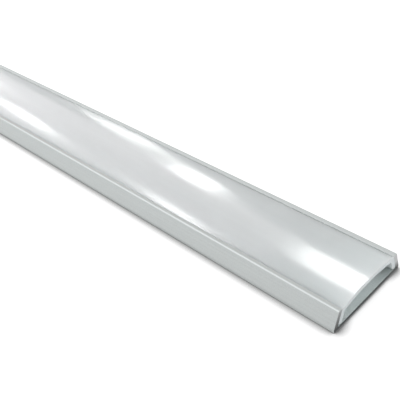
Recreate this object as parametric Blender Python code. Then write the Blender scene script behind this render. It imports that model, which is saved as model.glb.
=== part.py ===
"""A slim surface profile for a led strip: an aluminium channel with a slide-in opal cover.

The channel is one aluminium extrusion. Each of its two walls stands on a short upright foot and
leans inwards, so that the open top is narrower than the floor. The cover is one plastic
extrusion, a shallow arch whose two legs spread under the leaning walls and so lock it in place.

X runs along the profile, Y across it and Z up. The origin is in the middle of the underside.
"""

import math

import bmesh
import bpy
from mathutils import Vector

MM = 0.001

# Length of the bar: both extrusions are sawn off together, square and flush
BAR_LENGTH = 500 * MM

# Channel
BASE_WIDTH = 25.0 * MM
WALL_HEIGHT = 5.35 * MM
WALL_LEAN = math.radians(18)
WALL_THICKNESS = 1.2 * MM
FLOOR_THICKNESS = 0.7 * MM
FOOT_HEIGHT = 0.7 * MM
FOOT_RADIUS = 0.25 * MM
BEND_RADIUS = 0.6 * MM
RIM_RADIUS = 0.3 * MM
ROOT_RADIUS = 0.35 * MM

# Cover
COVER_THICKNESS = 1.15 * MM
COVER_CLEARANCE = 0.3 * MM
CROWN_ABOVE_RIM = 0.85 * MM
SHOULDER_BELOW_RIM = 0.25 * MM
SHOULDER_RADIUS = 0.5 * MM
INNER_CORNER_RADIUS = 0.4 * MM

# Longest step along a rounded corner, and along the arch, in degrees
CORNER_STEP = 12
ARCH_STEP = 0.8

# Corners closer than this are one corner, and edges that turn more than this stay crisp
WELD_DISTANCE = 0.001 * MM
CRISP_EDGE = math.radians(30)

# The wall on the +Y side: where it starts to lean, the direction up its face, and the
# direction square to that face, inwards
WALL_FOOT = Vector((BASE_WIDTH / 2, FOOT_HEIGHT))
UP_THE_WALL = Vector((-math.sin(WALL_LEAN), math.cos(WALL_LEAN)))
INTO_THE_CHANNEL = Vector((-math.cos(WALL_LEAN), -math.sin(WALL_LEAN)))


def clear_scene():
    for thing in list(bpy.data.objects):
        bpy.data.objects.remove(thing, do_unlink=True)


def on_wall(inset, height):
    """The point at this height on a line that runs parallel to the wall's outer face, inset from it."""
    foot = WALL_FOOT + inset * INTO_THE_CHANNEL
    return foot + (height - foot.y) / UP_THE_WALL.y * UP_THE_WALL


def arc(centre, radius, start, end, step):
    """Points along an arc, both ends included. The angles are in degrees, from +Y towards +Z."""
    count = max(1, math.ceil(abs(end - start) / step))
    angles = [math.radians(start + (end - start) * i / count) for i in range(count + 1)]
    return [centre + radius * Vector((math.cos(a), math.sin(a))) for a in angles]


def rounded_corner(before, corner, after, radius):
    """The arc that rounds a corner between two straight sides."""
    back = (before - corner).normalized()
    on = (after - corner).normalized()
    half_angle = back.angle(on) / 2
    centre = corner + (back + on).normalized() * radius / math.sin(half_angle)
    first = corner + back * radius / math.tan(half_angle) - centre
    last = corner + on * radius / math.tan(half_angle) - centre
    start = math.degrees(math.atan2(first.y, first.x))
    turn = -math.degrees(first.angle_signed(last))
    return arc(centre, radius, start, start + turn, CORNER_STEP)


def channel_half_outline():
    """The channel's section on the +Y side, from the middle of its underside round to its floor."""
    under_middle = Vector((0, 0))
    under_edge = Vector((BASE_WIDTH / 2, 0))
    floor_middle = Vector((0, FLOOR_THICKNESS))
    rim_outside = on_wall(0, WALL_HEIGHT)
    rim_inside = on_wall(WALL_THICKNESS, WALL_HEIGHT)
    root = on_wall(WALL_THICKNESS, FLOOR_THICKNESS)
    return [
        under_middle,
        *rounded_corner(under_middle, under_edge, WALL_FOOT, FOOT_RADIUS),
        *rounded_corner(under_edge, WALL_FOOT, rim_outside, BEND_RADIUS),
        *rounded_corner(WALL_FOOT, rim_outside, rim_inside, RIM_RADIUS),
        *rounded_corner(rim_outside, rim_inside, root, RIM_RADIUS),
        *rounded_corner(rim_inside, root, floor_middle, ROOT_RADIUS),
        floor_middle,
    ]


def arch_shape():
    """Centre and radius of the circle that the top of the cover follows.

    It passes through the crown and through the two points where the legs' outer faces would
    meet it if its shoulders were sharp.
    """
    crown = WALL_HEIGHT + CROWN_ABOVE_RIM
    shoulder = on_wall(WALL_THICKNESS + COVER_CLEARANCE, WALL_HEIGHT - SHOULDER_BELOW_RIM)
    rise = crown - shoulder.y
    radius = (shoulder.x**2 + rise**2) / (2 * rise)
    return Vector((0, crown - radius)), radius


def shoulder_centre(arch_centre, face_radius, face_inset, corner_radius):
    """Centre of the arc that joins a curved face of the arch to a straight face of the leg."""
    foot = WALL_FOOT + (face_inset + corner_radius) * INTO_THE_CHANNEL
    from_arch = foot - arch_centre
    along = from_arch.dot(UP_THE_WALL)
    reach = face_radius - corner_radius
    climb = math.sqrt(along**2 - from_arch.length_squared + reach**2) - along
    return foot + climb * UP_THE_WALL


def cover_half_outline():
    """The cover's section on the +Y side, from its crown round the leg's tip to the arch's underside."""
    arch_centre, arch_radius = arch_shape()
    leg_inset = WALL_THICKNESS + COVER_CLEARANCE
    lean = math.degrees(WALL_LEAN)

    outer = shoulder_centre(arch_centre, arch_radius, leg_inset, SHOULDER_RADIUS)
    outer_joins = math.degrees((outer - arch_centre).angle(Vector((1, 0))))
    under_radius = arch_radius - COVER_THICKNESS
    inner = shoulder_centre(
        arch_centre, under_radius, leg_inset + COVER_THICKNESS, INNER_CORNER_RADIUS
    )
    inner_joins = math.degrees((inner - arch_centre).angle(Vector((1, 0))))

    tip_radius = COVER_THICKNESS / 2
    tip = on_wall(leg_inset + tip_radius, FLOOR_THICKNESS + COVER_CLEARANCE + tip_radius)
    return [
        *arc(arch_centre, arch_radius, 90, outer_joins, ARCH_STEP),
        *arc(outer, SHOULDER_RADIUS, outer_joins, lean, CORNER_STEP)[1:],
        *arc(tip, tip_radius, lean, lean - 180, CORNER_STEP),
        *arc(inner, INNER_CORNER_RADIUS, lean, inner_joins, CORNER_STEP),
        *arc(arch_centre, under_radius, inner_joins, 90, ARCH_STEP)[1:],
    ]


def extrude_section(name, half_outline, collection):
    """Mirror half a section about the middle plane and push it through the bar's length."""
    mirrored = [Vector((-point.x, point.y)) for point in reversed(half_outline[1:-1])]
    outline = half_outline + mirrored
    curve = bpy.data.curves.new(name, "CURVE")
    curve.dimensions = "2D"
    curve.fill_mode = "BOTH"
    curve.extrude = BAR_LENGTH / 2
    spline = curve.splines.new("POLY")
    spline.points.add(len(outline) - 1)
    for point, place in zip(spline.points, outline):
        point.co = (place.x, place.y, 0, 1)
    spline.use_cyclic_u = True

    # The section is drawn in the curve's own XY plane, so it is turned to stand across the bar
    drawn = bpy.data.objects.new(name, curve)
    drawn.rotation_euler = (math.radians(90), 0, math.radians(90))
    collection.objects.link(drawn)
    return drawn


def to_smooth_mesh(drawn, collection):
    """Turn an extruded curve into a welded mesh, smooth round its corners and sharp at its ends."""
    bpy.context.view_layer.update()
    graph = bpy.context.evaluated_depsgraph_get()
    mesh = bpy.data.meshes.new_from_object(drawn.evaluated_get(graph))
    shape = bmesh.new()
    shape.from_mesh(mesh)
    bmesh.ops.remove_doubles(shape, verts=shape.verts, dist=WELD_DISTANCE)
    shape.to_mesh(mesh)
    shape.free()
    mesh.shade_smooth()
    mesh.set_sharp_from_angle(angle=CRISP_EDGE)

    name = drawn.name
    place = drawn.matrix_world.copy()
    bpy.data.objects.remove(drawn, do_unlink=True)
    mesh.name = name
    solid = bpy.data.objects.new(name, mesh)
    solid.matrix_world = place
    collection.objects.link(solid)
    return solid


def give_material(solid, name, colour, roughness, metallic):
    material = bpy.data.materials.new(name)
    material.use_nodes = True
    shader = material.node_tree.nodes["Principled BSDF"]
    shader.inputs["Base Color"].default_value = (*colour, 1)
    shader.inputs["Roughness"].default_value = roughness
    shader.inputs["Metallic"].default_value = metallic
    solid.data.materials.clear()
    solid.data.materials.append(material)


def make_channel(collection):
    drawn = extrude_section("channel", channel_half_outline(), collection)
    channel = to_smooth_mesh(drawn, collection)
    give_material(
        channel, "anodised_aluminium", colour=(0.62, 0.63, 0.63), roughness=0.42, metallic=1.0
    )


def make_cover(collection):
    """The cover's origin is on the line that it slides along, the middle of the bar."""
    drawn = extrude_section("diffuser_cover", cover_half_outline(), collection)
    cover = to_smooth_mesh(drawn, collection)
    give_material(cover, "opal_plastic", colour=(0.72, 0.75, 0.75), roughness=0.12, metallic=0.0)


def main():
    clear_scene()
    profile = bpy.data.collections.new("led_strip_profile")
    bpy.context.scene.collection.children.link(profile)
    make_channel(profile)
    make_cover(profile)


main()
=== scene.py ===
# %% [markdown]
# # A slim aluminium profile for a led strip
#
# The object is a flat aluminium channel, 25 mm wide and about 6 mm high, closed by a cover of milky plastic.
# Both are extrusions: metal or plastic is pushed through a steel die, so each has one section along its
# whole length. The lesson models the two sections closely, gives each material the finish that its process
# leaves, and lights the bar as in a catalogue picture: white ground, soft shadow, long crisp reflections.
#
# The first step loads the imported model. It fixes where each piece is, how large it is and which body it
# moves with, so everything below is fitted to it.

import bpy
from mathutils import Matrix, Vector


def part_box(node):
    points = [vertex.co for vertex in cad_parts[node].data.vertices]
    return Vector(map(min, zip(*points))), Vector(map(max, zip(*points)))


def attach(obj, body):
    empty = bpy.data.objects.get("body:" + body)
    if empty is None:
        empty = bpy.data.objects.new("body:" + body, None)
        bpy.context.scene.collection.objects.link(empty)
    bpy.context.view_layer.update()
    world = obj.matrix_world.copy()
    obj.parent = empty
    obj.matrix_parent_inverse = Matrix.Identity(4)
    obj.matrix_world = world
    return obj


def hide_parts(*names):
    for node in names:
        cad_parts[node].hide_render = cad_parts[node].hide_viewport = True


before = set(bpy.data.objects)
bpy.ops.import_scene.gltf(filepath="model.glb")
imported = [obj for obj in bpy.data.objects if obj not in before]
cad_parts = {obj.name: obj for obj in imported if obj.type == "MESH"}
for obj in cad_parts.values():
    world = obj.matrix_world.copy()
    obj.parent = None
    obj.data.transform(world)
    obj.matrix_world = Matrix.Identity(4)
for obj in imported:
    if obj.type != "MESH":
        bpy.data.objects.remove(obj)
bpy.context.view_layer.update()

# %% The tools of Blender that the lesson uses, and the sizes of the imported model
import math

import bmesh
import bpy
from mathutils import Euler, Matrix, Vector

MM = 0.001

channel_low, channel_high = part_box("channel")
BAR_START = channel_low.x
BAR_LENGTH = channel_high.x - channel_low.x
BASE_WIDTH = channel_high.y - channel_low.y
WALL_HEIGHT = channel_high.z
CROWN_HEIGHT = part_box("diffuser_cover")[1].z
print(f"bar {BAR_LENGTH / MM:.1f} mm long, {BASE_WIDTH / MM:.1f} mm wide, {CROWN_HEIGHT / MM:.2f} mm high")

# %% [markdown]
# ## How to draw an extruded section
#
# A section could be typed in as a long list of points, but then nobody could see what is a wall and what is
# a rounded corner. It is clearer to work as a die maker does: draw the half section with sharp corners,
# mirror it, push it through the length of the bar, and only then round each lengthwise edge by its own
# radius. Each of these is one of Blender's mesh operators: extrude, spin, mirror, fill and bevel.
#
# A vertex is moved on in the same way as with the E key in Edit Mode.

# %% Draw half a section, point by point
ARC_STEP = 0.5  # degrees


def draw_on(shape, vertex, place):
    """Extrude one vertex to a new place in the section: how far across the bar, and how high."""
    made = bmesh.ops.extrude_vert_indiv(shape, verts=[vertex])
    made["verts"][0].co = Vector((BAR_START, *place))
    return made["verts"][0]


def draw_arc_on(shape, vertex, centre, degrees):
    """Spin one vertex about a centre, towards the bar's +Y side, and return where it ends."""
    made = bmesh.ops.spin(
        shape,
        geom=[vertex],
        cent=Vector((BAR_START, *centre)),
        axis=(1, 0, 0),
        angle=-math.radians(degrees),
        steps=round(degrees / ARC_STEP),
        use_merge=False,
    )
    return next(item for item in made["geom_last"] if isinstance(item, bmesh.types.BMVert))


# %% Mirror it, fill it and push it through the bar's length
WELD_DISTANCE = 0.001 * MM


def push_through(shape):
    """Turn the half section into a closed bar with its ends square."""
    bmesh.ops.mirror(shape, geom=list(shape.verts) + list(shape.edges), axis="Y", merge_dist=WELD_DISTANCE)
    bmesh.ops.remove_doubles(shape, verts=shape.verts, dist=WELD_DISTANCE)
    bmesh.ops.contextual_create(shape, geom=shape.edges)
    grown = bmesh.ops.extrude_face_region(shape, geom=list(shape.faces))
    far_end = [item for item in grown["geom"] if isinstance(item, bmesh.types.BMVert)]
    bmesh.ops.translate(shape, verts=far_end, vec=(BAR_LENGTH, 0, 0))
    bmesh.ops.recalc_face_normals(shape, faces=shape.faces)
    print("  pushed through:", len(shape.verts), "points,", len(shape.faces), "faces")


# %% Round a lengthwise edge by its radius
ROUNDING_STEP = math.radians(7)
SAME_PLACE = 0.01 * MM


def bevel_edges(shape, edges, offset, segments):
    """Cut these edges back: one segment makes a flat chamfer, more of them make a rounding."""
    bmesh.ops.bevel(
        shape,
        geom=edges,
        offset=offset,
        offset_type="OFFSET",
        affect="EDGES",
        segments=segments,
        profile=0.5,
        material=-1,
        clamp_overlap=False,
    )


def round_edge(shape, place, radius):
    """Round the pair of mirrored lengthwise edges that stand at this place in the section."""
    edges = [
        edge
        for edge in shape.edges
        if abs(edge.verts[0].co.x - edge.verts[1].co.x) > BAR_LENGTH / 2
        and math.dist((abs(edge.verts[0].co.y), edge.verts[0].co.z), place) < SAME_PLACE
    ]
    turn = edges[0].calc_face_angle()
    bevel_edges(shape, edges, radius * math.tan(turn / 2), math.ceil(turn / ROUNDING_STEP))
    print(f"  rounded {len(edges)} edges by {radius / MM:.2f} mm, a turn of {math.degrees(turn):.0f} degrees")


# %% [markdown]
# The saw that cuts the bar leaves two flat ends with a fine burr, and the burr is brushed off. That leaves a
# chamfer of a twentieth of a millimetre round each end, too small to see as a shape, but it catches the
# light as a thin line. It stays smaller than every rounding of the section, so that the end face can shrink
# by it without folding over. The ends get a material of their own, because they are bare metal or plastic.

# %% Brush the burr off the sawn ends
END_CHAMFER = 0.05 * MM
ALONG_THE_BAR = 0.9
SAWN_MATERIAL = 1


def finish_ends(shape):
    """Mark the two end faces, which look along the bar, as sawn, and take the sharpness off their rims."""
    ends = [face for face in shape.faces if abs(face.normal.x) > ALONG_THE_BAR]
    for face in ends:
        face.material_index = SAWN_MATERIAL
    rims = [edge for face in ends for edge in face.edges]
    bevel_edges(shape, rims, END_CHAMFER, segments=1)
    print("  sawn ends:", len(ends), "with", len(rims), "edges brushed")


# %% Make the drawn shape a piece of the scene
CRISP_EDGE = math.radians(30)
PULL_OF_FLAT_FACES = 80


def make_piece(name, shape, skin, sawn, body, node):
    """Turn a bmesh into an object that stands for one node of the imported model."""
    bmesh.ops.recalc_face_normals(shape, faces=shape.faces)
    mesh = bpy.data.meshes.new(name)
    shape.to_mesh(mesh)
    shape.free()
    mesh.shade_smooth()
    mesh.set_sharp_from_angle(angle=CRISP_EDGE)
    mesh.materials.append(skin)
    mesh.materials.append(sawn)
    piece = bpy.data.objects.new(name, mesh)
    bpy.context.scene.collection.objects.link(piece)
    flat_faces_first = piece.modifiers.new("Flat faces stay flat", "WEIGHTED_NORMAL")
    flat_faces_first.keep_sharp = True
    flat_faces_first.weight = PULL_OF_FLAT_FACES
    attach(piece, body)
    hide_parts(node)
    print(f"{name}: {len(mesh.vertices)} points, {len(mesh.polygons)} faces")
    return piece


# %% [markdown]
# ## Helpers for the materials
#
# Colours are written as the hex values that a colour picker shows, which are sRGB. The shader works in
# linear light, so one function turns every one of them to linear. A second function adds a node, sets it up
# and links it, so that each material below reads as a list of what is in it. A third starts an empty
# material.


# %% Turn a hex colour to linear light
def linear(hex_colour):
    """The sRGB curve: a straight stretch next to black, and a power above it."""
    parts = [int(hex_colour[i : i + 2], 16) / 255 for i in (1, 3, 5)]
    return (*[p / 12.92 if p <= 0.04045 else ((p + 0.055) / 1.055) ** 2.4 for p in parts], 1.0)


print("mid grey #808080 is", round(linear("#808080")[0], 3), "in linear light")


# %% Add a node with its settings and links
def add_node(tree, kind, inputs=None, **settings):
    """Each input is a plain value, or the output socket of another node to link from."""
    node = tree.nodes.new(kind)
    for name, value in settings.items():
        setattr(node, name, value)
    for name, value in (inputs or {}).items():
        if isinstance(value, bpy.types.NodeSocket):
            tree.links.new(value, node.inputs[name])
        else:
            node.inputs[name].default_value = value
    return node


def new_material(name):
    """An empty material, and the node tree to fill."""
    material = bpy.data.materials.new(name)
    material.use_nodes = True
    material.node_tree.nodes.clear()
    return material, material.node_tree


# %% [markdown]
# ## Anodised aluminium
#
# The channel is aluminium EN AW-6063, etched to a satin and then anodised clear. The etch gives an even,
# soft grey sheen. Under it stay the fine lines that the die drew along the bar. The metal could be one grey
# value, but it would look like paint: what says metal is that the sheen and the lines both run lengthwise.
# So one noise is stretched along X to make the die lines, a second one is the grain of the etch, and both
# act on the colour and the bump. The grain also varies the roughness. The real lines are a tenth of a
# millimetre apart, too fine for the picture, so they are drawn over three times as coarse. The colour is
# the silver white of the bare metal: it looks greyer on the bar because a metal shows what it mirrors, and
# the room is light grey.

# %% Anodised aluminium, drawn and etched
DIE_LINE_SPACING = 0.35 * MM
DIE_LINE_LENGTH = 60 * MM
DIE_LINE_DEPTH = 0.004 * MM
ETCH_GRAIN = 0.25 * MM
ETCH_DEPTH = 0.003 * MM
SHARE_OF_THE_GRAIN = 0.6
DARK_SILVER = "#DCE1E0"
LIGHT_SILVER = "#E9EEED"
SMOOTHEST_ETCH = 0.42
ROUGHEST_ETCH = 0.5

# A noise seldom leaves this range, so its full effect is spread over it
NOISE_LOW = 0.3
NOISE_HIGH = 0.7


def make_anodised_aluminium():
    material, tree = new_material("anodised aluminium, drawn and etched")
    place = add_node(tree, "ShaderNodeTexCoord").outputs["Object"]
    stretched = add_node(
        tree,
        "ShaderNodeMapping",
        {"Vector": place, "Scale": (1 / DIE_LINE_LENGTH, 1 / DIE_LINE_SPACING, 1 / DIE_LINE_SPACING)},
    )
    lines = add_node(
        tree,
        "ShaderNodeTexNoise",
        {"Vector": stretched.outputs["Vector"], "Scale": 1.0, "Detail": 3.0, "Roughness": 0.6},
    )
    grain = add_node(
        tree,
        "ShaderNodeTexNoise",
        {"Vector": place, "Scale": 1 / ETCH_GRAIN, "Detail": 2.0, "Roughness": 0.5},
    )
    mottling = add_node(
        tree,
        "ShaderNodeMix",
        {"Factor": SHARE_OF_THE_GRAIN, "A": lines.outputs["Fac"], "B": grain.outputs["Fac"]},
    )
    tint = add_node(tree, "ShaderNodeValToRGB", {"Fac": mottling.outputs["Result"]})
    tint.color_ramp.elements[0].position = NOISE_LOW
    tint.color_ramp.elements[0].color = linear(DARK_SILVER)
    tint.color_ramp.elements[1].position = NOISE_HIGH
    tint.color_ramp.elements[1].color = linear(LIGHT_SILVER)
    roughness = add_node(
        tree,
        "ShaderNodeMapRange",
        {
            "Value": grain.outputs["Fac"],
            "From Min": NOISE_LOW,
            "From Max": NOISE_HIGH,
            "To Min": SMOOTHEST_ETCH,
            "To Max": ROUGHEST_ETCH,
        },
    )
    line_bump = add_node(
        tree,
        "ShaderNodeBump",
        {"Height": lines.outputs["Fac"], "Distance": DIE_LINE_DEPTH, "Strength": 1.0},
    )
    bump = add_node(
        tree,
        "ShaderNodeBump",
        {
            "Height": grain.outputs["Fac"],
            "Distance": ETCH_DEPTH,
            "Strength": 1.0,
            "Normal": line_bump.outputs["Normal"],
        },
    )
    shader = add_node(
        tree,
        "ShaderNodeBsdfPrincipled",
        {
            "Base Color": tint.outputs["Color"],
            "Roughness": roughness.outputs["Result"],
            "Metallic": 1.0,
            "Normal": bump.outputs["Normal"],
        },
    )
    add_node(tree, "ShaderNodeOutputMaterial", {"Surface": shader.outputs["BSDF"]})
    return material


anodised_aluminium = make_anodised_aluminium()
print("made", anodised_aluminium.name)

# %% [markdown]
# ## Sawn aluminium
#
# The bar is anodised in long lengths and sawn afterwards, so its ends are bare metal. The teeth of the saw
# leave fine arcs, close together, which are rings about the saw's axle, far below the bar. The cut is not
# equally bright all over, because it mirrors the floor: low down and on the near side it sees the bar's
# shadow, and at the far wall it sees lit paper. That shade and light is painted into the cut's colour: one
# ramp over the height and one across the bar make it darker towards the bottom and lighter towards the far
# wall, and the rings are laid over it.

# %% Sawn aluminium
SAW_MARK_SPACING = 0.3 * MM
SAW_MARK_DEPTH = 0.01 * MM
SAW_MARK_CONTRAST = 0.15
SAW_MARK_WANDER = 0.6
SAW_CENTRE = (0, -30 * MM, -110 * MM)
# Painted shade and light of the cut: darkest below this height, lighter up to the rims and towards the far
# wall
PAINTED_SHADE_UP_TO = 0.6 * MM
PAINTED_LIGHT_AT_RIM = 0.85
PAINTED_LIGHT_AT_NEAR_WALL = 0.8
PAINTED_LIGHT_AT_FAR_WALL = 2.4
SAWN_METAL_IN_PAINTED_SHADE = "#454A4A"
SAWN_METAL_IN_PAINTED_LIGHT = "#E6E9E9"

# The wave texture draws its rings this far apart at a scale of 1
RING_SPACING = math.pi / 10


def make_sawn_aluminium():
    material, tree = new_material("bare aluminium, sawn")
    place = add_node(tree, "ShaderNodeTexCoord").outputs["Object"]
    from_axle = add_node(
        tree, "ShaderNodeMapping", {"Vector": place, "Location": [-part for part in SAW_CENTRE]}
    )
    in_plane = add_node(
        tree,
        "ShaderNodeVectorMath",
        {0: from_axle.outputs["Vector"], 1: (0, 1, 1)},
        operation="MULTIPLY",
    )
    rings = add_node(
        tree,
        "ShaderNodeTexWave",
        {
            "Vector": in_plane.outputs["Vector"],
            "Scale": RING_SPACING / SAW_MARK_SPACING,
            "Distortion": SAW_MARK_WANDER,
            "Detail": 2.0,
            "Detail Scale": 0.5,
        },
        wave_type="RINGS",
        rings_direction="X",
    )
    parts = add_node(tree, "ShaderNodeSeparateXYZ", {"Vector": place}).outputs
    # Painted shade and reflection: the cut gets darker towards the bottom and the near side, lighter towards
    # the far wall
    painted_light_upwards = add_node(
        tree,
        "ShaderNodeMapRange",
        {
            "Value": parts["Z"],
            "From Min": PAINTED_SHADE_UP_TO,
            "From Max": WALL_HEIGHT,
            "To Min": 0.0,
            "To Max": PAINTED_LIGHT_AT_RIM,
        },
    )
    painted_light_across = add_node(
        tree,
        "ShaderNodeMapRange",
        {
            "Value": parts["Y"],
            "From Min": -BASE_WIDTH / 2,
            "From Max": BASE_WIDTH / 2,
            "To Min": PAINTED_LIGHT_AT_NEAR_WALL,
            "To Max": PAINTED_LIGHT_AT_FAR_WALL,
        },
    )
    painted_light = add_node(
        tree,
        "ShaderNodeMath",
        {0: painted_light_upwards.outputs["Result"], 1: painted_light_across.outputs["Result"]},
        operation="MULTIPLY",
    )
    saw_marks_and_painted_light = add_node(
        tree,
        "ShaderNodeMath",
        {0: rings.outputs["Fac"], 1: SAW_MARK_CONTRAST, 2: painted_light.outputs["Value"]},
        operation="MULTIPLY_ADD",
    )
    # The ramp's dark end is painted shade, its light end painted light; the saw rings vary the tone between
    # them
    tint = add_node(tree, "ShaderNodeValToRGB", {"Fac": saw_marks_and_painted_light.outputs["Value"]})
    tint.color_ramp.elements[0].color = linear(SAWN_METAL_IN_PAINTED_SHADE)
    tint.color_ramp.elements[1].color = linear(SAWN_METAL_IN_PAINTED_LIGHT)
    bump = add_node(
        tree,
        "ShaderNodeBump",
        {"Height": rings.outputs["Fac"], "Distance": SAW_MARK_DEPTH, "Strength": 1.0},
    )
    shader = add_node(
        tree,
        "ShaderNodeBsdfPrincipled",
        {
            "Base Color": tint.outputs["Color"],
            "Roughness": 0.3,
            "Metallic": 1.0,
            "Normal": bump.outputs["Normal"],
        },
    )
    add_node(tree, "ShaderNodeOutputMaterial", {"Surface": shader.outputs["BSDF"]})
    return material


sawn_aluminium = make_sawn_aluminium()
print("made", sawn_aluminium.name)

# %% [markdown]
# ## Opal acrylic
#
# The cover is PMMA with a fine white pigment that scatters the light, so that the single leds behind it
# melt into an even band. Its skin comes out of the die as glossy as glass. It could be plain white plastic,
# but then the space under it would be black: about half of the light passes through the wall. Subsurface
# scattering lets it through, equally far for red, green and blue. Its mean path is several times the wall's
# thickness, which gives the soft, watery white of a thin opal sheet and lights the inside of the channel.
#
# Where the cover is sawn, the cut is frosted. Most of the light turns back at that rough surface, so the
# cut looks paler and duller than the skin. It is drawn without any scattering inside it.

# %% Opal acrylic, extruded and sawn
ACRYLIC_IOR = 1.49
SCATTER_LENGTH = 6.0 * MM
FLOW_LINE_SPACING = 2.5 * MM
FLOW_LINE_LENGTH = 200 * MM
FLOW_LINE_DEPTH = 0.004 * MM


def make_opal_acrylic(name, roughness, scattered_inside, dark, light):
    material, tree = new_material(name)
    place = add_node(tree, "ShaderNodeTexCoord").outputs["Object"]
    stretched = add_node(
        tree,
        "ShaderNodeMapping",
        {"Vector": place, "Scale": (1 / FLOW_LINE_LENGTH, 1 / FLOW_LINE_SPACING, 1 / FLOW_LINE_SPACING)},
    )
    flow = add_node(
        tree,
        "ShaderNodeTexNoise",
        {"Vector": stretched.outputs["Vector"], "Scale": 1.0, "Detail": 2.0, "Roughness": 0.5},
    )
    tint = add_node(tree, "ShaderNodeValToRGB", {"Fac": flow.outputs["Fac"]})
    tint.color_ramp.elements[0].position = NOISE_LOW
    tint.color_ramp.elements[0].color = linear(dark)
    tint.color_ramp.elements[1].position = NOISE_HIGH
    tint.color_ramp.elements[1].color = linear(light)
    bump = add_node(
        tree,
        "ShaderNodeBump",
        {"Height": flow.outputs["Fac"], "Distance": FLOW_LINE_DEPTH, "Strength": 1.0},
    )
    shader = add_node(
        tree,
        "ShaderNodeBsdfPrincipled",
        {
            "Base Color": tint.outputs["Color"],
            "Roughness": roughness,
            "IOR": ACRYLIC_IOR,
            "Subsurface Weight": scattered_inside,
            "Subsurface Radius": (1.0, 1.0, 1.0),
            "Subsurface Scale": SCATTER_LENGTH,
            "Normal": bump.outputs["Normal"],
        },
    )
    add_node(tree, "ShaderNodeOutputMaterial", {"Surface": shader.outputs["BSDF"]})
    return material


opal_acrylic = make_opal_acrylic(
    "opal acrylic, extruded", roughness=0.17, scattered_inside=1.0, dark="#E0F3F4", light="#E4F7F8"
)
sawn_acrylic = make_opal_acrylic(
    "opal acrylic, sawn", roughness=0.45, scattered_inside=0.0, dark="#EAF1F2", light="#F0F7F8"
)
print("made", opal_acrylic.name, "and", sawn_acrylic.name)

# %% [markdown]
# ## The channel
#
# The real channel has a floor 0.7 mm thin and two walls of 1.2 mm. Each wall stands on a short upright foot
# and then leans inwards by 18 degrees, so the top is narrower than the floor and grips the cover's legs.
# The rim of each wall falls a little towards the cover, to meet its shoulder without a step.
# The half section is drawn from the middle of the underside round to the middle of the floor.

# %% Sizes of the channel
WALL_LEAN = math.radians(18)
WALL_THICKNESS = 1.2 * MM
FLOOR_THICKNESS = 0.7 * MM
FOOT_HEIGHT = 0.7 * MM
RIM_FALL = 0.24 * MM
UP_THE_WALL = Vector((-math.sin(WALL_LEAN), math.cos(WALL_LEAN)))
INTO_THE_CHANNEL = Vector((-math.cos(WALL_LEAN), -math.sin(WALL_LEAN)))

wall_foot = Vector((BASE_WIDTH / 2, FOOT_HEIGHT))


def on_wall(inset, height):
    """The point at this height on a line parallel to the wall's outer face, inset from it."""
    foot = wall_foot + inset * INTO_THE_CHANNEL
    return foot + (height - foot.y) / UP_THE_WALL.y * UP_THE_WALL


under_edge = Vector((BASE_WIDTH / 2, 0))
rim_outside = on_wall(0, WALL_HEIGHT)
rim_inside = on_wall(WALL_THICKNESS, WALL_HEIGHT - RIM_FALL)
wall_root = on_wall(WALL_THICKNESS, FLOOR_THICKNESS)
floor_middle = Vector((0, FLOOR_THICKNESS))
print(f"the open top is {2 * rim_inside.x / MM:.2f} mm wide, the floor {2 * wall_root.x / MM:.2f} mm")

# %% Draw the channel
channel_shape = bmesh.new()
vertex = channel_shape.verts.new((BAR_START, 0, 0))
for corner in (under_edge, wall_foot, rim_outside, rim_inside, wall_root, floor_middle):
    vertex = draw_on(channel_shape, vertex, corner)
push_through(channel_shape)

# %% Round the channel's edges and saw it off
UNDER_EDGE_RADIUS = 0.15 * MM
BEND_RADIUS = 0.6 * MM
RIM_OUTSIDE_RADIUS = 0.4 * MM
RIM_INSIDE_RADIUS = 0.12 * MM
ROOT_RADIUS = 0.35 * MM

for corner, radius in (
    (under_edge, UNDER_EDGE_RADIUS),
    (wall_foot, BEND_RADIUS),
    (rim_outside, RIM_OUTSIDE_RADIUS),
    (rim_inside, RIM_INSIDE_RADIUS),
    (wall_root, ROOT_RADIUS),
):
    round_edge(channel_shape, corner, radius)
finish_ends(channel_shape)
channel = make_piece(
    "aluminium_channel",
    channel_shape,
    anodised_aluminium,
    sawn_aluminium,
    body="channel",
    node="channel",
)

# %% [markdown]
# ## The cover
#
# The cover is a shallow arch, 1.15 mm thick, on two legs. The legs spread outwards at the same 18 degrees as
# the walls and so hook under them, and they press against the walls, so no gap shows at the rims. The arch
# is a circle of 41.5 mm radius: such a large, slightly bowed surface draws the long reflections. A spin
# makes it round in short steps, where a few straight faces would break each reflection into strips.

# %% Sizes of the cover
COVER_THICKNESS = 1.15 * MM
ARCH_RADIUS = 41.5 * MM
WALL_GAP = 0.02 * MM
FLOOR_GAP = 0.3 * MM

leg_inset = WALL_THICKNESS + WALL_GAP
arch_centre = Vector((0, CROWN_HEIGHT - ARCH_RADIUS))
under_radius = ARCH_RADIUS - COVER_THICKNESS
headroom = CROWN_HEIGHT - COVER_THICKNESS - FLOOR_THICKNESS
print(f"under the crown there is {headroom / MM:.2f} mm for the strip")


# %% Find where the arch meets its legs
def arch_meets_leg(radius, inset):
    """Where a circle about the arch's centre crosses a line parallel to the wall's outer face."""
    foot = on_wall(inset, 0)
    from_arch = foot - arch_centre
    along = from_arch.dot(UP_THE_WALL)
    climb = math.sqrt(along**2 - from_arch.length_squared + radius**2) - along
    return foot + climb * UP_THE_WALL


shoulder = arch_meets_leg(ARCH_RADIUS, leg_inset)
inner_corner = arch_meets_leg(under_radius, leg_inset + COVER_THICKNESS)
arch_half_angle = math.degrees(math.asin(shoulder.x / ARCH_RADIUS))
under_half_angle = math.degrees(math.asin(inner_corner.x / under_radius))
print(f"the arch spans {2 * arch_half_angle:.1f} degrees, its underside {2 * under_half_angle:.1f} degrees")

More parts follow.
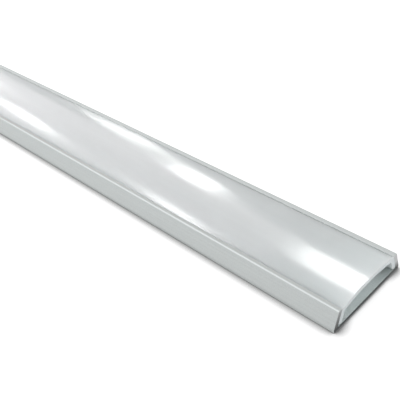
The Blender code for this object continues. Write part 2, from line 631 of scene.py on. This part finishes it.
# %% Find the corners of the leg's tip
half_thickness = COVER_THICKNESS / 2
tip_height = FLOOR_THICKNESS + FLOOR_GAP + half_thickness
tip_middle = on_wall(leg_inset + half_thickness, tip_height) - half_thickness * UP_THE_WALL
tip_outside = tip_middle - half_thickness * INTO_THE_CHANNEL
tip_inside = tip_middle + half_thickness * INTO_THE_CHANNEL
print(f"the two legs' tips stand {2 * tip_inside.x / MM:.2f} mm apart")

# %% Draw the cover
cover_shape = bmesh.new()
top_of_crown = cover_shape.verts.new((BAR_START, 0, CROWN_HEIGHT))
vertex = draw_arc_on(cover_shape, top_of_crown, arch_centre, arch_half_angle)
for corner in (tip_outside, tip_inside):
    vertex = draw_on(cover_shape, vertex, corner)
under_crown = cover_shape.verts.new((BAR_START, 0, CROWN_HEIGHT - COVER_THICKNESS))
inner_end = draw_arc_on(cover_shape, under_crown, arch_centre, under_half_angle)
cover_shape.edges.new((vertex, inner_end))
push_through(cover_shape)

# %% [markdown]
# The leg's tip is a half round, drawn as two rounded corners. Their radius is kept a little under half the
# thickness, so that a narrow flat stays between them: if they met exactly, the end face would get edges
# of no length there.

# %% Round the cover's edges and saw it off
SHOULDER_RADIUS = 0.07 * MM
INNER_CORNER_RADIUS = 0.4 * MM
TIP_RADIUS = 0.48 * COVER_THICKNESS

for corner, radius in (
    (shoulder, SHOULDER_RADIUS),
    (inner_corner, INNER_CORNER_RADIUS),
    (tip_outside, TIP_RADIUS),
    (tip_inside, TIP_RADIUS),
):
    round_edge(cover_shape, corner, radius)
finish_ends(cover_shape)
make_piece(
    "opal_cover",
    cover_shape,
    opal_acrylic,
    sawn_acrylic,
    body="cover",
    node="diffuser_cover",
)

# %% [markdown]
# ## The ground
#
# A catalogue picture stands on pure white. More light on the bar would bleach it too, so the white comes
# from the ground itself: for the rays that the eye sends to it, the paper is light grey and glows, and the
# two add up to white. The bar takes light away from the grey part, and that is its shadow. Close to the
# bar, where the room hardly reaches the paper, the glow fades as well. Ambient Occlusion measures how open
# the corner is, and gives the dark line under the bar.
#
# Mirrored in the bar, the grey paper glows much less, so that it doesn't bleach the metal walls, which
# mirror it. For the light that it throws back onto the bar it is plain white paper without any glow.

# %% A pale floor that keeps the shadow
FLOOR_SIZE = 6.0
FLOOR_BELOW = 0.02 * MM
FLOOR_GLOW = 0.86
FLOOR_GLOW_MIRRORED = 0.27
PAPER_FOR_THE_LIGHT = "#F0F0F0"
PAPER_AS_SEEN = "#A4A4A4"
CORNER_SHADE_REACH = 3.5 * MM
CLOSED_CORNER = 0.59
OPEN_GROUND = 0.95


def add_seen_rays(tree):
    """Two values: 1 for a ray from the eye, and 1 for a ray that a glossy or clear surface sends on."""
    rays = add_node(tree, "ShaderNodeLightPath").outputs
    mirrored = add_node(
        tree,
        "ShaderNodeMath",
        {0: rays["Is Glossy Ray"], 1: rays["Is Transmission Ray"]},
        operation="MAXIMUM",
    )
    return rays["Is Camera Ray"], mirrored.outputs["Value"]


def make_floor_paper():
    material, tree = new_material("white backdrop paper")
    from_eye, mirrored = add_seen_rays(tree)
    seen = add_node(tree, "ShaderNodeMath", {0: from_eye, 1: mirrored}, operation="MAXIMUM")
    paper_colour = add_node(
        tree,
        "ShaderNodeMix",
        {
            "Factor": seen.outputs["Value"],
            "A": linear(PAPER_FOR_THE_LIGHT),
            "B": linear(PAPER_AS_SEEN),
        },
        data_type="RGBA",
    )
    paper = add_node(tree, "ShaderNodeBsdfDiffuse", {"Color": paper_colour.outputs["Result"]})
    openness = add_node(tree, "ShaderNodeAmbientOcclusion", {"Distance": CORNER_SHADE_REACH})
    glow_here = add_node(
        tree,
        "ShaderNodeMapRange",
        {
            "Value": openness.outputs["AO"],
            "From Min": CLOSED_CORNER,
            "From Max": OPEN_GROUND,
            "To Min": 0.0,
            "To Max": FLOOR_GLOW,
        },
    )
    glow_mirrored = add_node(
        tree, "ShaderNodeMath", {0: mirrored, 1: FLOOR_GLOW_MIRRORED}, operation="MULTIPLY"
    )
    glow_strength = add_node(
        tree,
        "ShaderNodeMix",
        {"Factor": from_eye, "A": glow_mirrored.outputs["Value"], "B": glow_here.outputs["Result"]},
    )
    glow = add_node(tree, "ShaderNodeEmission", {"Strength": glow_strength.outputs["Result"]})
    both = add_node(tree, "ShaderNodeAddShader", {0: paper.outputs["BSDF"], 1: glow.outputs["Emission"]})
    add_node(tree, "ShaderNodeOutputMaterial", {"Surface": both.outputs["Shader"]})
    return material


floor_shape = bmesh.new()
bmesh.ops.create_grid(floor_shape, x_segments=1, y_segments=1, size=FLOOR_SIZE / 2)
bmesh.ops.translate(floor_shape, verts=floor_shape.verts, vec=(0, 0, -FLOOR_BELOW))
floor_mesh = bpy.data.meshes.new("floor")
floor_shape.to_mesh(floor_mesh)
floor_shape.free()
floor_mesh.materials.append(make_floor_paper())
floor = bpy.data.objects.new("floor", floor_mesh)
bpy.context.scene.collection.objects.link(floor)
print("floor", FLOOR_SIZE, "m square")

# %% [markdown]
# ## The room
#
# A single lamp would do for a matt object, but here one material is glossy and the other is metal, and both
# show the room. So the room is made in two parts. Matt surfaces get a soft light that grows from nothing
# behind the bar to full in front of it and above, which shapes the arch. Glossy ones mirror an even, light
# grey room, with a bright panel in front on the left that draws the pale line along the near rim, and a
# paler wall beyond the far end, towards the front, that lifts the metal there. The eye itself sees plain
# white.

# %% A soft white room
ROOM_LIGHT = 0.81
TOWARDS_THE_LIGHT = (0.2, -0.8, 0.56)
ROOM_MIRRORED = 0.66
PANEL_MIRRORED = 0.42
TOWARDS_THE_PANEL = (-0.41, -0.6, 0.69)
PANEL_EDGE = 0.5
END_WALL_MIRRORED = 0.24
TOWARDS_THE_END_WALL = (-0.9, -0.42, 0.1)
END_WALL_EDGE = 0.4
ROOM_AS_SEEN = 1.0

world = bpy.data.worlds.new("white room")
bpy.context.scene.world = world
world.use_nodes = True
room = world.node_tree
room.nodes.clear()
direction = add_node(room, "ShaderNodeTexCoord").outputs["Generated"]


def add_patch_of_light(towards, edge, darkest, brightest):
    """Light that grows from an edge to the direction that it is centred on.

    The edge is the cosine of its angle from that direction: 0 is a right angle, and -1 is opposite.
    """
    closeness = add_node(room, "ShaderNodeVectorMath", {0: direction, 1: towards}, operation="DOT_PRODUCT")
    patch = add_node(
        room,
        "ShaderNodeMapRange",
        {
            "Value": closeness.outputs["Value"],
            "From Min": edge,
            "From Max": 1.0,
            "To Min": darkest,
            "To Max": brightest,
        },
        interpolation_type="SMOOTHSTEP",
    )
    return patch.outputs["Result"]


soft_light = add_patch_of_light(TOWARDS_THE_LIGHT, edge=-1.0, darkest=0.0, brightest=ROOM_LIGHT)
panel = add_patch_of_light(
    TOWARDS_THE_PANEL, PANEL_EDGE, darkest=ROOM_MIRRORED, brightest=ROOM_MIRRORED + PANEL_MIRRORED
)
end_wall = add_patch_of_light(
    TOWARDS_THE_END_WALL, END_WALL_EDGE, darkest=0.0, brightest=END_WALL_MIRRORED
)
mirrored_light = add_node(room, "ShaderNodeMath", {0: panel, 1: end_wall}, operation="ADD")
from_eye, mirrored = add_seen_rays(room)
room_light = add_node(
    room, "ShaderNodeMix", {"Factor": mirrored, "A": soft_light, "B": mirrored_light.outputs["Value"]}
)
room_strength = add_node(
    room, "ShaderNodeMix", {"Factor": from_eye, "A": room_light.outputs["Result"], "B": ROOM_AS_SEEN}
)
background = add_node(
    room,
    "ShaderNodeBackground",
    {"Color": linear("#FFFFFF"), "Strength": room_strength.outputs["Result"]},
)
add_node(room, "ShaderNodeOutputWorld", {"Surface": background.outputs["Background"]})
print("the room's light grows from 0 behind the bar to", ROOM_LIGHT, "in front")

# %% [markdown]
# ## Soft boxes
#
# The glossy arch shows every lamp as a long white shape, so the lamps are placed by their reflections: from
# the eye to the spot on the arch, and from there in the mirrored direction out to the lamp. Each box is a
# rectangle that faces the bar. A large dim screen at the left, with a trace of rose in its white, gives the
# far half of the arch its pale veil, and a low box at the open end lights the inside of the channel.
#
# Metal mirrors the boxes far more strongly than plastic does, and the rims would bleach. A photographer
# holds up a card to keep a lamp off such an edge. Light linking is that card: a list of what the lamps
# skip, with the channel on it.

# %% Keep the soft boxes off the metal
screened = bpy.data.collections.new("screened from the soft boxes")
screened.objects.link(channel)
screened.collection_objects[0].light_linking.link_state = "EXCLUDE"
print("screened from the soft boxes:", channel.name)

# %% Hang the soft boxes
BRIGHT = 25.0


def hang_soft_box(name, place, aimed_at, size, brightness=BRIGHT, roll=0.0, colour="#FFFFFF"):
    """Hang a lamp of this width and height so that it faces a point, and roll it about that line.

    The brightness is what a mirror would show of it. Times pi and the area, it gives the lamp's watts.
    """
    width, height = size
    light = bpy.data.lights.new(name, "AREA")
    light.shape = "RECTANGLE"
    light.size = width
    light.size_y = height
    light.energy = brightness * math.pi * width * height
    light.color = linear(colour)[:3]
    lamp = bpy.data.objects.new(name, light)
    bpy.context.scene.collection.objects.link(lamp)
    lamp.location = place
    facing = (Vector(aimed_at) - Vector(place)).to_track_quat("-Z", "Y")
    lamp.rotation_euler = (facing.to_matrix() @ Matrix.Rotation(math.radians(roll), 3, "Z")).to_euler()
    lamp.light_linking.receiver_collection = screened
    print(f"{name}: {width:.2f} by {height:.2f} m, {light.energy:.1f} W")


hang_soft_box(
    "dim screen left",
    (-0.676, 0.372, 0.761),
    (0.180, 0.0, 0.006),
    (0.83, 0.81),
    brightness=1.4,
    roll=34.7,
    colour="#FFF5FA",
)
hang_soft_box(
    "soft box far left", (-0.836, 0.284, 0.659), (0.128, -0.008, 0.007), (0.080, 0.078), roll=42.6
)
hang_soft_box(
    "soft box low left", (-0.928, 0.471, 0.408), (0.068, -0.015, -0.051), (0.019, 0.159), roll=-17.9
)
hang_soft_box(
    "soft box low", (-0.677, 0.774, 0.391), (0.168, 0.010, 0.011), (0.160, 0.176), brightness=5.5, roll=10.8
)
hang_soft_box(
    "soft box middle", (-0.527, 0.757, 0.595), (0.192, 0.005, -0.003), (0.062, 0.220), roll=-36.6
)
hang_soft_box(
    "soft box high", (-0.524, 0.211, 0.937), (0.209, -0.021, 0.015), (0.057, 0.148), roll=1.1
)
hang_soft_box(
    "soft box near",
    (-0.203, 0.611, 0.940),
    (0.283, -0.005, 0.031),
    (0.168, 0.33),
    brightness=17.0,
    roll=-33.2,
)
hang_soft_box(
    "low box at the open end", (0.60, -0.60, 0.075), (0.25, 0.0, 0.003), (0.40, 0.12), brightness=3.0
)

# %% [markdown]
# ## The camera
#
# The long edges of the bar run together towards the left, and how fast they do gives the distance and the
# lens: a 56 mm lens, 14 cm from the near end, that looks down on the table by 38 degrees. A catalogue
# picture of so small a section is taken from close by.

# %% Set the camera
LENS = 56.05
SENSOR_WIDTH = 36
CAMERA_PLACE = (0.29481, -0.08554, 0.10160)
CAMERA_TURN = (52.119, 4.918, 44.126)
NEAREST_SEEN = 0.01
FARTHEST_SEEN = 20

camera_data = bpy.data.cameras.new("camera")
camera_data.lens = LENS
camera_data.sensor_width = SENSOR_WIDTH
camera_data.clip_start = NEAREST_SEEN
camera_data.clip_end = FARTHEST_SEEN
camera = bpy.data.objects.new("camera", camera_data)
bpy.context.scene.collection.objects.link(camera)
camera.location = CAMERA_PLACE
camera.rotation_euler = Euler([math.radians(part) for part in CAMERA_TURN])
bpy.context.scene.camera = camera
bpy.context.scene.view_settings.view_transform = "Standard"
print("camera at", CAMERA_PLACE)
